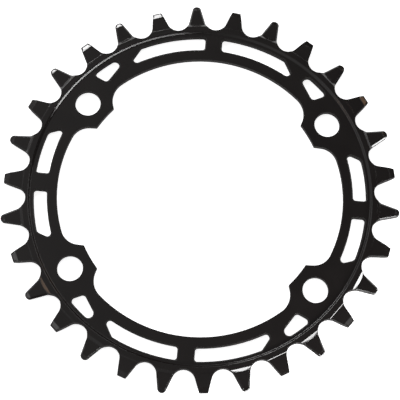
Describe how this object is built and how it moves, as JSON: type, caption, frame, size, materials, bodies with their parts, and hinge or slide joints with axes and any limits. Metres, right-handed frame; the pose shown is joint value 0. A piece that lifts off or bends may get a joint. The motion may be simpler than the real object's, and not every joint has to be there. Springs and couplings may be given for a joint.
{
  "type": "bicycle chainring",
  "caption": "Flat toothed ring with alternating narrow and wide teeth, inward bolt lugs and lightening slots, bolted to a bicycle crank to drive the chain",
  "frame": {"origin": "centre of the bolt circle, on the back face of the lugs that seats on the crank", "axes": "+Z out of the front face along the axle, X along the longer side of the bolt rectangle"},
  "size_m": [0.1283, 0.1288, 0.0036],
  "materials": {
    "black_coating": "semi-gloss black coating on metal"
  },
  "bodies": {
    "root": {"chainring": "black_coating"}
  },
  "joints": []
}
